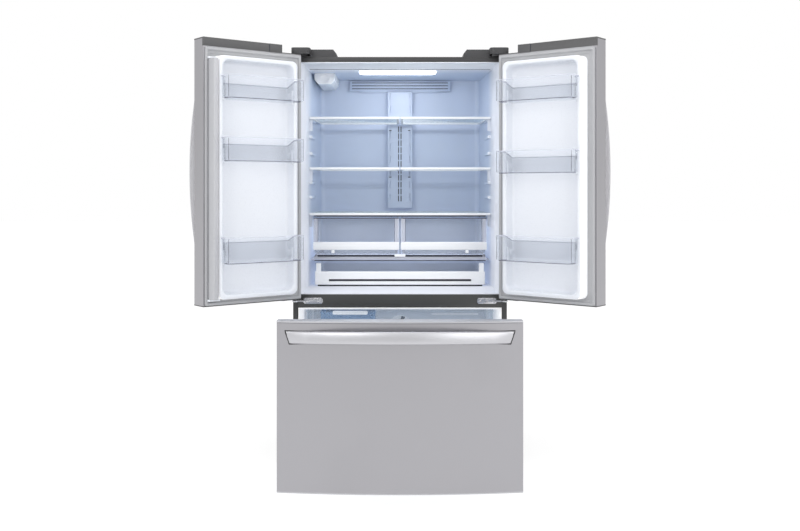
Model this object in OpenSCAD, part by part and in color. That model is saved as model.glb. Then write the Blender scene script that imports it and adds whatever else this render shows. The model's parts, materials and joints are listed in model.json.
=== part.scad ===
/* [Cabinet] */
// overall cabinet width
case_w = 908; // [904:1:912]
// height of the case top above the floor
case_h = 1738; // [1730:1:1750]
// depth of the case, front flange to back panel
case_d = 636; // [630:1:650]
// lower edge of the case above the floor
case_z0 = 60; // [58:1:62]
// sheet metal thickness of the case
case_t = 1.5; // [1.0:0.5:2.0]
// width of the turned-in front flange
flange_w = 22; // [20:1:24]
// moulded liner wall thickness
liner_t = 3; // [2:0.5:4]

/* [Fresh food compartment] */
// inner back wall of the fresh food liner
ff_back = 550; // [545:1:560]
// top face of the upper shelf
shelf_top_z = 1493.5; // [1485:0.5:1500]
// top face of the middle shelf
shelf_mid_z = 1272; // [1266:1:1278]
// top face of the crisper cover shelf
shelf_low_z = 1071.5; // [1069:0.5:1074]
// front edge of the shelves
shelf_front = 130; // [128:1:136]
// outer half span of the two crispers
crisper_x = 380; // [376:1:381]
// top rim of the crispers
crisper_top = 1051; // [1040:1:1054]
// outer half span of the pantry drawer
pantry_x = 372; // [366:1:374]

/* [Doors] */
// door height
door_h = 1058.5; // [1050:0.5:1060]
// lower edge of the doors
door_z0 = 715; // [714:1:716]
// opening angle in the stored pose
door_open = 142; // [0:1:142]
// bow of the front across the whole width
bow = 30; // [20:1:36]
// slab thickness at the middle of the cabinet
slab_mid = 80; // [76:1:84]
// height of the raised liner rim
rim_h = 55; // [48:1:56]
// stand-off of the handles
handle_out = 64; // [50:1:70]

/* [Freezer drawer] */
// how far the drawer is pulled out in the stored pose
drawer_out = 483; // [0:1:483]
// lower edge of the drawer front
drawer_z0 = 60; // [58:1:66]
// upper edge of the drawer front
drawer_z1 = 692; // [686:1:694]
// rim height of the big basket
basket_top = 520; // [480:1:530]

/* [Hidden] */
$fn = 96;
hx = case_w / 2;
ix = hx - case_t;
gap = 12;
bow_r = (hx * hx + bow * bow) / (2 * bow);
door_w = hx - 6;
door_off = hx - 3;
pin_x = 11;
pin_v = -26;
door_z1 = door_z0 + door_h;
cap_z = door_z1 - 35;
skin_t = 1.2;
open_x = hx - flange_w;
ff_x = open_x - liner_t;
eps = 0.01;

// ---------- helpers ----------

// axis aligned block from low corner to high corner
module blk(a, b) {
    translate(a)
        cube([b[0] - a[0], b[1] - a[1], b[2] - a[2]]);
}

// both sides of the cabinet
module both() {
    children();
    mirror([1, 0, 0])
        children();
}

// rounded rectangle prism along Z
module rprism(x0, y0, x1, y1, r, z0, z1) {
    translate([0, 0, z0])
        linear_extrude(z1 - z0)
            union() {
                translate([x0 + r, y0])
                    square([x1 - x0 - 2 * r, y1 - y0]);
                translate([x0, y0 + r])
                    square([x1 - x0, y1 - y0 - 2 * r]);
                for (p = [[x0 + r, y0 + r], [x1 - r, y0 + r], [x0 + r, y1 - r], [x1 - r, y1 - r]])
                    translate(p)
                        circle(r = r, $fn = 32);
            }
}

// rounded rectangle prism along Y, in the XZ plane, from v0 to v1
module rplate(x0, z0, x1, z1, r, v0, v1) {
    translate([0, v1, 0])
        rotate([90, 0, 0])
            rprism(x0, z0, x1, z1, r, 0, v1 - v0);
}

// fresh food space grown outwards by o, starting at y = f
module ff_space(o, f) {
    r = 26 + o;
    xb = 384 + o;
    yb = ff_back + o;
    half = concat([[ff_x + o, f], [ff_x + o, 0], [411 + o, 30], [401 + o, shelf_front]],
        [for (a = [0:15:90]) [xb - r + r * cos(a), yb - r + r * sin(a)]]);
    plan = concat(half, [for (i = [len(half) - 1:-1:0]) [-half[i][0], half[i][1]]]);
    intersection() {
        translate([0, 0, 700])
            linear_extrude(1060)
                polygon(plan);
        rotate([90, 0, 90])
            translate([0, 0, -500])
                linear_extrude(1000)
                    polygon([[f, 733 - o], [46, 733 - o], [90, 752 - o], [ff_back + o, 752 - o],
                        [ff_back + o, case_h - 41 + o], [90, case_h - 41 + o], [50, case_h - 25 + o],
                        [f, case_h - 25 + o]]);
    }
}

// freezer space grown outwards by o, starting at y = f
module fz_space(o, f) {
    intersection() {
        translate([0, 0, 60])
            linear_extrude(640)
                polygon([[ff_x + o, f], [ff_x + o, 0], [412 + o, 30], [412 + o, 505 + o],
                    [-412 - o, 505 + o], [-412 - o, 30], [-ff_x - o, 0], [-ff_x - o, f]]);
        rotate([90, 0, 90])
            translate([0, 0, -500])
                linear_extrude(1000)
                    polygon([[f, 89 - o], [0, 89 - o], [30, 95 - o], [355 + o, 95 - o],
                        [395 + o, 340 - o], [505 + o, 340 - o], [505 + o, 662 + o], [30, 662 + o],
                        [0, 670.5 + o], [f, 670.5 + o]]);
    }
}

// machine compartment at the lower back
module machine_space() {
    rotate([90, 0, 90])
        translate([0, 0, -ix - 1])
            linear_extrude(2 * ix + 2)
                polygon([[415, 50], [452, 288], [case_d + 5, 288], [case_d + 5, 50]]);
}

// ---------- fixed cabinet parts ----------

module case_shell() {
    color([0.27, 0.27, 0.28])
        union() {
            difference() {
                blk([-hx, 0, case_z0], [hx, case_d, case_h]);
                blk([-ix, -1, case_z0 - 1], [ix, case_d + 1, case_h - case_t]);
            }
            both()
                blk([open_x, 0, case_z0], [hx, case_t, case_h]);
            blk([-hx, 0, case_h - flange_w], [hx, case_t, case_h]);
        }
}

module back_panel() {
    color([0.45, 0.45, 0.46])
        difference() {
            blk([-ix, case_d - case_t, 290], [ix, case_d, case_h - case_t]);
            for (x = [-300, 0, 300])
                blk([x - 60, case_d - 0.7, 420], [x + 60, case_d + 1, 1600]);
        }
}

module machine_cover() {
    color([0.4, 0.4, 0.41])
        difference() {
            blk([-ix, case_d - case_t, 63], [ix, case_d, 289]);
            for (i = [0:1:5])
                for (x = [-350, -180, 20])
                    blk([x, case_d - 5, 100 + i * 26], [x + 140, case_d + 5, 110 + i * 26]);
            translate([300, case_d - 5, 120])
                rotate([-90, 0, 0])
                    cylinder(r = 9, h = 20);
        }
}

module base_frame() {
    color([0.3, 0.3, 0.31])
        difference() {
            union() {
                blk([-ix, 2, case_z0], [ix, case_d - 4, case_z0 + 3]);
                blk([-open_x, 0, case_z0], [open_x, 2, 86]);
                both() {
                    blk([384, 535, 10], [387, 585, case_z0]);
                    blk([413, 535, 10], [416, 585, case_z0]);
                    blk([370, 20, 42], [430, 70, case_z0]);
                }
                blk([-170, 440, case_z0 + 3], [130, 600, case_z0 + 8]);
            }
            both() {
                translate([380, 560, 24])
                    rotate([0, 90, 0])
                        cylinder(r = 5.06, h = 40);
                translate([400, 45, 30])
                    cylinder(r = 6.05, h = 50);
            }
        }
}

module kick_grille() {
    color([0.16, 0.16, 0.17])
        difference() {
            union() {
                blk([-360, 40, 16], [360, 46, 58]);
                both()
                    blk([330, 46, 50], [360, 60, 58]);
            }
            for (i = [0:1:17])
                blk([-332 + i * 37, 30, 24], [-304 + i * 37, 50, 30]);
            for (i = [0:1:17])
                blk([-332 + i * 37, 30, 38], [-304 + i * 37, 50, 44]);
        }
}

module mullion_rail() {
    color([0.27, 0.27, 0.28])
        union() {
            blk([-open_x, 0, 673.5], [open_x, 2, 730]);
            blk([-open_x + 2, 2, 690], [open_x - 2, 22, 714]);
        }
}

module insulation_foam() {
    color([0.9, 0.82, 0.6])
        difference() {
            blk([-ix, 2, case_z0 + 3], [ix, case_d - case_t, case_h - case_t]);
            ff_space(liner_t, -5);
            fz_space(liner_t, -5);
            machine_space();
            blk([-open_x + 2, 1, 690], [open_x - 2, 22, 714]);
            blk([-open_x, -1, 673.5], [open_x, 2, 730]);
        }
}

module fresh_food_liner() {
    color([0.93, 0.95, 0.97])
        union() {
            difference() {
                ff_space(liner_t, 0);
                ff_space(0, -5);
            }
            intersection() {
                ff_space(1, 0);
                both()
                    for (z = [shelf_top_z, shelf_mid_z, shelf_low_z])
                        union() {
                            blk([385.5, 160, z - 18], [404, 330, z - 9.5]);
                            blk([386.5, 160, z - 60], [404, 176, z - 18]);
                        }
            }
        }
}

module freezer_liner() {
    color([0.9, 0.92, 0.95])
        union() {
            difference() {
                fz_space(liner_t, 0);
                fz_space(0, -5);
            }
            both()
                blk([390, 60, 547], [413, 440, 555]);
        }
}

module top_hinge() {
    union() {
        blk([-450, 14, case_h], [-392, 72, case_h + 21]);
        blk([-450, -38, case_h + 17], [-424, 15, case_h + 21]);
        translate([-440, -38, case_h + 17])
            cylinder(r = 14, h = 4);
        translate([-440, -38, 1722])
            cylinder(r = 5, h = case_h + 21 - 1722);
        for (p = [[-436, 30], [-406, 30], [-421, 58]])
            translate([p[0], p[1], case_h + 21])
                cylinder(r = 6, h = 4);
    }
}

module top_hinges() {
    color([0.62, 0.62, 0.63])
        both()
            top_hinge();
}

// nose of a hinge cover over the pin and arm, shrunk by i
module hinge_nose(i, z0, z1, y1) {
    for (x = [-440, -395])
        translate([x, -38, z0])
            cylinder(r = 17 - i, h = z1 - z0);
    blk([-440, -55 + i, z0], [-395, -38, z1]);
    blk([-457 + i, -38, z0], [-378 - i, y1, z1]);
}

module hinge_cover() {
    difference() {
        union() {
            rotate([90, 0, 0])
                translate([0, 0, -112])
                    linear_extrude(110)
                        polygon([[-453, case_h], [-453, case_h + 32], [-284, case_h + 32],
                            [-270, case_h + 14], [-270, case_h]]);
            hinge_nose(0, case_h + 6, case_h + 33, 3);
        }
        blk([-451, 4.5, case_h - 1], [-290, 109.5, case_h + 29.5]);
        hinge_nose(2.4, case_h + 5, case_h + 30.5, 6);
    }
}

module hinge_covers() {
    color([0.4, 0.4, 0.41])
        both()
            hinge_cover();
}

module lower_hinge() {
    difference() {
        union() {
            rplate(-410, 690, -328, 715, 9, -3, 0);
            blk([-453, -38, 702], [-404, -2, 708]);
            translate([-440, -38, 702])
                cylinder(r = 13, h = 6);
            translate([-440, -38, 708])
                cylinder(r = 9, h = 6.8);
            translate([-440, -38, 708])
                cylinder(r = 5, h = 32);
        }
        translate([-344, -6, 702])
            rotate([-90, 0, 0])
                cylinder(r = 2.4, h = 4.5);
    }
}

module lower_hinges() {
    color([0.78, 0.79, 0.8])
        both()
            lower_hinge();
}

module air_duct() {
    color([0.93, 0.95, 0.97])
        difference() {
            union() {
                blk([-58, 512, 1085], [58, ff_back, 1640]);
                blk([-190, 530, 1640], [190, ff_back, 1690]);
            }
            for (z = [1120:60:1600])
                both()
                    blk([44, 505, z], [50, 520, z + 34]);
            for (i = [0:1:3])
                blk([-170, 522, 1649 + i * 10], [170, 536, 1653 + i * 10]);
        }
}

// crisper cover outline shrunk by i
module shelf_plan(i) {
    polygon([[-397 + i, shelf_front + i], [397 - i, shelf_front + i], [382 - i, 500 - i],
        [-382 + i, 500 - i]]);
}

// half-width shelf outline shrunk by i
module half_plan(i) {
    polygon([[2 + i, shelf_front + i], [397 - i, shelf_front + i], [382 - i, 500 - i], [2 + i, 500 - i]]);
}

// plastic frame around one pane, top face at z
module pane_frame(z) {
    difference() {
        translate([0, 0, z - 9.5])
            linear_extrude(9.5)
                children(0);
        translate([0, 0, z - 4])
            linear_extrude(5)
                children(1);
        translate([0, 0, z - 12])
            linear_extrude(20)
                children(2);
    }
}

module shelf_frames() {
    color([0.95, 0.96, 0.97])
        union() {
            both()
                for (z = [shelf_top_z, shelf_mid_z])
                    pane_frame(z) {
                        half_plan(0);
                        half_plan(6);
                        half_plan(13);
                    }
            pane_frame(shelf_low_z) {
                shelf_plan(0);
                shelf_plan(6);
                shelf_plan(15);
            }
        }
}

module shelf_panes() {
    color([0.8, 0.9, 0.95, 0.35])
        union() {
            both()
                for (z = [shelf_top_z, shelf_mid_z])
                    translate([0, 0, z - 4])
                        linear_extrude(4)
                            half_plan(6.3);
            translate([0, 0, shelf_low_z - 4])
                linear_extrude(4)
                    shelf_plan(6.3);
        }
}

module pantry_cover() {
    color([0.93, 0.95, 0.97])
        union() {
            blk([-376, 126, 868], [376, 500, 871]);
            blk([-376, 126, 862], [376, 134, 880]);
            both() {
                blk([376, 140, 864], [390, 330, 871]);
                blk([362, 140, 871], [372, 490, 890]);
                blk([14, 140, 871], [22, 490, 890]);
            }
        }
}

module light_bar() {
    color([1, 1, 0.97])
        union() {
            rprism(-180, 150, 160, 225, 10, case_h - 47, case_h - 41);
            rprism(-168, 162, 148, 213, 8, case_h - 51, case_h - 47);
        }
}

module filter_housing() {
    color([0.95, 0.96, 0.97])
        difference() {
            rotate([90, 0, 0])
                translate([0, 0, -515])
                    linear_extrude(285)
                        polygon([[-383, case_h - 41], [-383, 1668], [-366, 1648], [-309, 1648],
                            [-292, 1668], [-292, case_h - 41]]);
            translate([-337.5, 225, 1672])
                rotate([-90, 0, 0])
                    cylinder(r = 18, h = 12);
        }
}

module evaporator_cover() {
    color([0.9, 0.92, 0.94])
        difference() {
            blk([-408, 468, 345], [408, 472, 658]);
            translate([0, 460, 520])
                rotate([-90, 0, 0])
                    cylinder(r = 60, h = 30);
            for (i = [0:1:5])
                both()
                    blk([150, 460, 380 + i * 40], [370, 480, 390 + i * 40]);
        }
}

module evaporator_fan() {
    color([0.2, 0.2, 0.22])
        translate([0, 476, 520])
            rotate([-90, 0, 0])
                union() {
                    cylinder(r = 16, h = 18);
                    for (a = [0:72:288])
                        rotate([0, 0, a])
                            translate([12, -9, 9])
                                rotate([24, 0, 0])
                                    translate([0, 0, -1])
                                        cube([42, 18, 2]);
                }
}

module compressor() {
    color([0.12, 0.12, 0.13])
        translate([-20, 525, case_z0 + 8])
            union() {
                for (p = [[-70, -50], [70, -50], [-70, 50], [70, 50]])
                    translate([p[0], p[1], 0])
                        cylinder(r = 12, h = 16);
                blk([-90, -62, 12], [90, 62, 18]);
                translate([0, 0, 18])
                    cylinder(r = 76, h = 110);
                translate([0, 0, 128])
                    cylinder(r1 = 76, r2 = 44, h = 34);
                blk([60, -30, 50], [108, 30, 110]);
            }
}

module cord_gland() {
    color([0.1, 0.1, 0.1])
        translate([300, case_d - 8, 120])
            rotate([-90, 0, 0])
                difference() {
                    union() {
                        cylinder(r = 8.95, h = 10);
                        translate([0, 0, 8])
                            cylinder(r = 14, h = 4);
                    }
                    translate([0, 0, -1])
                        cylinder(r = 4, h = 20);
                }
}

module rail_bar(x0, x1, y0, y1) {
    difference() {
        blk([x0, y0, 300], [x1, y1, 340]);
        blk([x0 - 1, y0 - 1, 312], [x0 + 2.4, y1 + 1, 328]);
    }
}

module drawer_rails() {
    color([0.6, 0.61, 0.62])
        both()
            rail_bar(406, 412, 32, 385);
}

module levelling_feet() {
    color([0.25, 0.25, 0.26])
        both()
            translate([400, 45, 0])
                union() {
                    cylinder(r1 = 20, r2 = 18, h = 10);
                    cylinder(r = 6, h = case_z0 - 2);
                    translate([0, 0, 30])
                        cylinder(r = 11, h = 8, $fn = 6);
                }
}

module rear_rollers() {
    color([0.15, 0.15, 0.16])
        both()
            translate([380.5, 560, 24])
                rotate([0, 90, 0])
                    union() {
                        cylinder(r = 5, h = 39);
                        translate([0, 0, 8])
                            cylinder(r = 24, h = 23);
                    }
}

// ---------- crispers and pantry ----------

module crisper_bin() {
    difference() {
        rprism(-crisper_x, 134, -3.5, 492, 14, 891.5, crisper_top);
        rprism(-crisper_x + 3, 137, -6.5, 489, 11, 894.5, crisper_top + 5);
    }
}

module crisper_band() {
    union() {
        rprism(-crisper_x, 122, -3.5, 134, 5, 911, 945);
        blk([-300, 119.5, 896], [-286, 134, 911]);
    }
}

module crisper_left_bin() {
    color([0.85, 0.92, 0.96, 0.35])
        crisper_bin();
}

module crisper_left_band() {
    color([0.95, 0.96, 0.97])
        crisper_band();
}

module crisper_right_bin() {
    color([0.85, 0.92, 0.96, 0.35])
        mirror([1, 0, 0])
            crisper_bin();
}

module crisper_right_band() {
    color([0.95, 0.96, 0.97])
        mirror([1, 0, 0])
            crisper_band();
}

module pantry_drawer() {
    color([0.85, 0.92, 0.96, 0.35])
        difference() {
            rprism(-pantry_x, 134, pantry_x, 492, 12, 759, 852);
            rprism(-pantry_x + 3, 137, pantry_x - 3, 489, 9, 762, 860);
        }
}

module pantry_band() {
    color([0.95, 0.96, 0.97])
        difference() {
            union() {
                rprism(-pantry_x, 122, pantry_x, 134, 5, 759, 816);
                both()
                    blk([pantry_x - 26, 128, 810], [pantry_x - 5, 134, 852]);
            }
            blk([-pantry_x + 60, 115, 773], [pantry_x - 60, 131, 783]);
        }
}

// ---------- doors, drawn closed: x from the hinge edge, y inwards from the inner face ----------

module slab(i, z0, z1) {
    intersection() {
        blk([i, -200, z0], [door_w - i, -i, z1]);
        translate([door_off, bow_r - slab_mid, z0 - 1])
            cylinder(r = bow_r - i, h = z1 - z0 + 2, $fn = 720);
    }
}

module door_skin() {
    difference() {
        slab(0, door_z0 + 4, door_z1 - 5);
        slab(skin_t, door_z0, door_z1);
        blk([20, -3, door_z0], [door_w - 20, 5, door_z1]);
        blk([-5, -9, cap_z], [door_w + 5, 5, door_z1 + 1]);
        blk([-1, -70, case_h + 4], [92, 5, door_z1 + 1]);
    }
}

module door_caps() {
    difference() {
        union() {
            slab(0, door_z1 - 5, door_z1);
            slab(skin_t, cap_z, door_z1 - 4);
            blk([0, -9, cap_z], [door_w, 0, door_z1]);
            blk([92, -1, cap_z], [150, 2, door_z1]);
            slab(0, door_z0, door_z0 + 4);
            slab(skin_t, door_z0 + 2, door_z0 + 10);
            translate([pin_x, pin_v, 1716])
                cylinder(r = 9.5, h = 30);
            translate([pin_x, pin_v, door_z0 + 1])
                cylinder(r = 9.5, h = 30);
        }
        blk([-5, -100, case_h + 4], [92, 5, door_z1 + 5]);
        translate([pin_x, pin_v, 1719])
            cylinder(r = 5.06, h = 100);
        translate([pin_x, pin_v, door_z0 - 5])
            cylinder(r = 5.06, h = 31);
        blk([20, -2, door_z0 + 4], [door_w - 20, 5, door_z0 + 30]);
        blk([-5, -skin_t, door_z0 + 4], [door_w + 5, 5, door_z0 + 30]);
    }
}

// flat inner sheet and hollow rim of a door liner
module door_liner() {
    union() {
        difference() {
            union() {
                blk([20, -2, door_z0 + 4], [door_w - 20, 0, cap_z]);
                rplate(48, 744, door_w - 40, 1702, 24, -2, rim_h);
            }
            rplate(50.5, 746.5, door_w - 42.5, 1699.5, 22, -3, rim_h - 2.5);
            rplate(66, 762, door_w - 58, 1684, 20, 0, rim_h + 5);
        }
        difference() {
            rplate(64, 760, door_w - 56, 1686, 22, -2, rim_h);
            rplate(66, 762, door_w - 58, 1684, 20, 0, rim_h + 5);
        }
    }
}

module door_rim_fill(i) {
    difference() {
        rplate(48 + i, 744 + i, door_w - 40 - i, 1702 - i, 24 - i / 2, -5, rim_h - i);
        rplate(66 - i, 762 - i, door_w - 58 + i, 1684 + i, 22, -2, rim_h + 5);
    }
}

module door_foam() {
    difference() {
        union() {
            difference() {
                slab(skin_t, door_z0 + 10, cap_z);
                blk([-5, -2, door_z0], [door_w + 5, 5, door_z1]);
            }
            difference() {
                rplate(50.5, 746.5, door_w - 42.5, 1699.5, 22, -2.5, rim_h - 2.5);
                rplate(64, 760, door_w - 56, 1686, 22, -2, rim_h + 5);
            }
        }
        translate([pin_x, pin_v, 1716])
            cylinder(r = 9.5, h = 60);
        translate([pin_x, pin_v, door_z0 - 5])
            cylinder(r = 9.5, h = 36);
    }
}

module door_gasket() {
    difference() {
        union() {
            blk([5, 0, 720], [door_w - 5, 3, cap_z - 5]);
            blk([5, 0, 720], [door_w - 5, 11, cap_z - 5]);
        }
        blk([11, 3, 726], [door_w - 11, 20, cap_z - 11]);
        blk([34, -5, 743.5], [door_w - 34, 20, 1704]);
    }
}

module door_handle() {
    zc = door_z0 + door_h / 2;
    hl = 343;
    hr = (hl * hl + handle_out * handle_out) / (2 * handle_out);
    difference() {
        intersection() {
            translate([door_w - 44, -slab_mid - handle_out + hr, zc])
                rotate([0, 90, 0])
                    difference() {
                        cylinder(r = hr, h = 36, $fn = 360);
                        translate([0, 0, -1])
                            cylinder(r = hr - 13, h = 38, $fn = 360);
                    }
            blk([door_w - 50, -200, zc - hl], [door_w, -40, zc + hl]);
        }
        translate([door_off, bow_r - slab_mid, zc - 500])
            cylinder(r = bow_r, h = 1000, $fn = 720);
    }
}

// door bin outline shrunk by i
module bin_plan(i) {
    polygon([[70 + i, 4 + i], [door_w - 60 - i, 4 + i], [door_w - 60 - i, rim_h + 4 + i],
        [door_w - 44 - i, rim_h + 7 + i], [door_w - 44 - i, 104 - i / 2], [door_w - 54 - i / 2, 121 - i],
        [door_w - 72, 129 - i], [82, 129 - i], [64 + i / 2, 121 - i], [54 + i, 104 - i / 2],
        [54 + i, rim_h + 7 + i], [70 + i, rim_h + 4 + i]]);
}

module door_bin(z0, z1) {
    difference() {
        translate([0, 0, z0])
            linear_extrude(z1 - z0)
                bin_plan(0);
        translate([0, 0, z0 + 3])
            linear_extrude(z1 - z0)
                bin_plan(2.5);
        blk([60, -5, z1 - 24], [door_w - 56, 40, z1 + 5]);
    }
    blk([66.2, 12, z0 + 20], [70.5, 30, z0 + 40]);
    blk([door_w - 60.5, 12, z0 + 20], [door_w - 58.2, 30, z0 + 40]);
}

module flip_bar() {
    ax = door_w - 20;
    difference() {
        union() {
            rprism(door_w - 36, 8, door_w - 16, 60, 4, 746.5, 1686.5);
            translate([ax, 16, 739])
                cylinder(r = 3, h = 956);
        }
        rprism(door_w - 33, 22, door_w - 19, 57, 3, 750, 1683);
    }
}

module flip_ears() {
    difference() {
        union() {
            blk([door_w - 68, 8, 737.5], [door_w - 12, 22, 745.5]);
            blk([door_w - 44.2, 8, 1687.5], [door_w - 12, 22, 1695.5]);
        }
        translate([door_w - 20, 16, 700])
            cylinder(r = 3.06, h = 1100);
    }
}

module left_place() {
    translate([-hx + 14, -gap + pin_v, 0])
        rotate([0, 0, -door_open])
            translate([-pin_x, -pin_v, 0])
                children();
}

module right_place() {
    mirror([1, 0, 0])
        left_place()
            children();
}

module left_door_skin() {
    color([0.72, 0.72, 0.73])
        left_place()
            door_skin();
}

module left_door_caps() {
    color([0.38, 0.38, 0.39])
        left_place()
            door_caps();
}

module left_door_liner() {
    color([0.93, 0.94, 0.96])
        left_place()
            union() {
                door_liner();
                flip_ears();
            }
}

module left_door_foam() {
    color([0.9, 0.82, 0.6])
        left_place()
            door_foam();
}

module left_door_gasket() {
    color([0.72, 0.73, 0.75])
        left_place()
            door_gasket();
}

module left_door_handle() {
    color([0.72, 0.72, 0.73])
        left_place()
            door_handle();
}

module left_bin_top() {
    color([0.85, 0.92, 0.96, 0.35])
        left_place()
            door_bin(1530, 1620);
}

module left_bin_middle() {
    color([0.85, 0.92, 0.96, 0.35])
        left_place()
            door_bin(1285, 1380);
}

module left_bin_bottom() {
    color([0.85, 0.92, 0.96, 0.35])
        left_place()
            door_bin(886, 989);
}

module flip_mullion() {
    color([0.75, 0.75, 0.77])
        left_place()
            flip_bar();
}

module right_door_skin() {
    color([0.72, 0.72, 0.73])
        right_place()
            door_skin();
}

module right_door_caps() {
    color([0.38, 0.38, 0.39])
        right_place()
            door_caps();
}

module right_door_liner() {
    color([0.93, 0.94, 0.96])
        right_place()
            door_liner();
}

module right_door_foam() {
    color([0.9, 0.82, 0.6])
        right_place()
            door_foam();
}

module right_door_gasket() {
    color([0.72, 0.73, 0.75])
        right_place()
            door_gasket();
}

module right_door_handle() {
    color([0.72, 0.72, 0.73])
        right_place()
            door_handle();
}

module right_bin_top() {
    color([0.85, 0.92, 0.96, 0.35])
        right_place()
            door_bin(1530, 1620);
}

module right_bin_middle() {
    color([0.85, 0.92, 0.96, 0.35])
        right_place()
            door_bin(1240, 1332);
}

module right_bin_bottom() {
    color([0.85, 0.92, 0.96, 0.35])
        right_place()
            door_bin(886, 989);
}

// ---------- freezer drawer, drawn closed ----------

module drawer_place() {
    translate([0, -drawer_out, 0])
        children();
}

module dslab(i, z0, z1) {
    intersection() {
        blk([-hx + i, -200, z0], [hx - i, -gap - i, z1]);
        translate([0, bow_r - slab_mid - gap, z0 - 1])
            cylinder(r = bow_r - i, h = z1 - z0 + 2, $fn = 720);
    }
}

module drawer_skin() {
    color([0.72, 0.72, 0.73])
        drawer_place()
            difference() {
                dslab(0, drawer_z0 + 5, drawer_z1 - 6);
                dslab(skin_t, drawer_z0, drawer_z1);
                blk([-hx + 20, -20, drawer_z0], [hx - 20, 0, drawer_z1]);
            }
}

module drawer_caps() {
    color([0.38, 0.38, 0.39])
        drawer_place()
            union() {
                dslab(0, drawer_z1 - 6, drawer_z1);
                difference() {
                    dslab(skin_t, drawer_z1 - 12, drawer_z1 - 5);
                    blk([-hx, -gap - 2, 0], [hx, 0, drawer_z1 - 6]);
                }
                dslab(0, drawer_z0, drawer_z0 + 5);
            }
}

module drawer_liner() {
    color([0.93, 0.94, 0.96])
        drawer_place()
            union() {
                blk([-hx + 20, -gap - 2, drawer_z0 + 5], [hx - 20, -gap, drawer_z1 - 6]);
                difference() {
                    rplate(-385, 110, 385, 640, 24, -gap - 0.5, 12);
                    rplate(-370, 125, 370, 625, 20, -gap, 20);
                }
            }
}

module drawer_foam() {
    color([0.9, 0.82, 0.6])
        drawer_place()
            difference() {
                dslab(skin_t, drawer_z0 + 5, drawer_z1 - 12);
                blk([-hx, -gap - 2, 0], [hx, 0, drawer_z1]);
            }
}

module drawer_gasket() {
    color([0.72, 0.73, 0.75])
        drawer_place()
            difference() {
                blk([-hx + 5, -gap, drawer_z0 + 6], [hx - 5, -1, drawer_z1 - 7]);
                blk([-hx + 11, -gap + 3, drawer_z0 + 12], [hx - 11, 10, drawer_z1 - 13]);
                blk([-hx + 34, -gap - 5, drawer_z0 + 32], [hx - 34, 10, drawer_z1 - 36]);
            }
}

module drawer_handle() {
    hl = 421;
    dip = bow_r - sqrt(bow_r * bow_r - hl * hl);
    sag = handle_out + dip;
    hr = (hl * hl + sag * sag) / (2 * sag);
    color([0.72, 0.72, 0.73])
        drawer_place()
            difference() {
                intersection() {
                    translate([0, -gap - slab_mid + dip, 632])
                        rotate([-6, 0, 0])
                            translate([0, hr - sag, -23])
                                difference() {
                                    cylinder(r = hr, h = 46, $fn = 360);
                                    translate([0, 0, -1])
                                        cylinder(r = hr - 13, h = 48, $fn = 360);
                                }
                    blk([-hl, -300, 560], [hl, -40, 720]);
                }
                translate([0, bow_r - slab_mid - gap, 0])
                    cylinder(r = bow_r, h = 1000, $fn = 720);
            }
}

module freezer_basket() {
    color([0.9, 0.93, 0.96])
        drawer_place()
            union() {
                difference() {
                    rprism(-382, 16, 382, 340, 20, 110, basket_top);
                    rprism(-379, 19, 379, 337, 17, 113, basket_top + 5);
                }
                blk([-2, 18, 112], [2, 338, basket_top - 80]);
                difference() {
                    rprism(-386, 13, 386, 344, 22, basket_top - 10, basket_top);
                    rprism(-380, 18, 380, 338, 17, basket_top - 20, basket_top + 5);
                }
            }
}

module freezer_tray() {
    color([0.65, 0.8, 0.95, 0.4])
        difference() {
            rprism(-404, 36, 404, 440, 16, 556, 655);
            rprism(-401, 39, 401, 437, 13, 559, 665);
        }
}

module rail_middle() {
    color([0.6, 0.61, 0.62])
        translate([0, -drawer_out / 2, 0])
            both()
                rail_bar(399, 405, 8, 365);
}

module rail_inner() {
    color([0.6, 0.61, 0.62])
        drawer_place()
            both()
                union() {
                    rail_bar(392, 398, -gap, 345);
                    for (y = [40, 180, 320])
                        blk([382, y - 12, 306], [393, y + 12, 310]);
                }
}

// ---------- drawing ----------

case_shell();
back_panel();
machine_cover();
base_frame();
kick_grille();
mullion_rail();
insulation_foam();
fresh_food_liner();
freezer_liner();
top_hinges();
hinge_covers();
lower_hinges();
air_duct();
shelf_frames();
shelf_panes();
pantry_cover();
light_bar();
filter_housing();
evaporator_cover();
evaporator_fan();
compressor();
cord_gland();
drawer_rails();
levelling_feet();
rear_rollers();
crisper_left_bin();
crisper_left_band();
crisper_right_bin();
crisper_right_band();
pantry_drawer();
pantry_band();
left_door_skin();
left_door_caps();
left_door_liner();
left_door_foam();
left_door_gasket();
left_door_handle();
left_bin_top();
left_bin_middle();
left_bin_bottom();
flip_mullion();
right_door_skin();
right_door_caps();
right_door_liner();
right_door_foam();
right_door_gasket();
right_door_handle();
right_bin_top();
right_bin_middle();
right_bin_bottom();
drawer_skin();
drawer_caps();
drawer_liner();
drawer_foam();
drawer_gasket();
drawer_handle();
freezer_basket();
freezer_tray();
rail_middle();
rail_inner();
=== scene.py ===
"""Looks of the french door refrigerator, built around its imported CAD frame.

Lengths are in mm until a mesh is made. A door and the drawer have coordinates of their own:
x across, v in depth from the front's inner plane (minus is outwards), z up.
"""

import json
from math import cos, pi, radians, sin, sqrt

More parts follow.
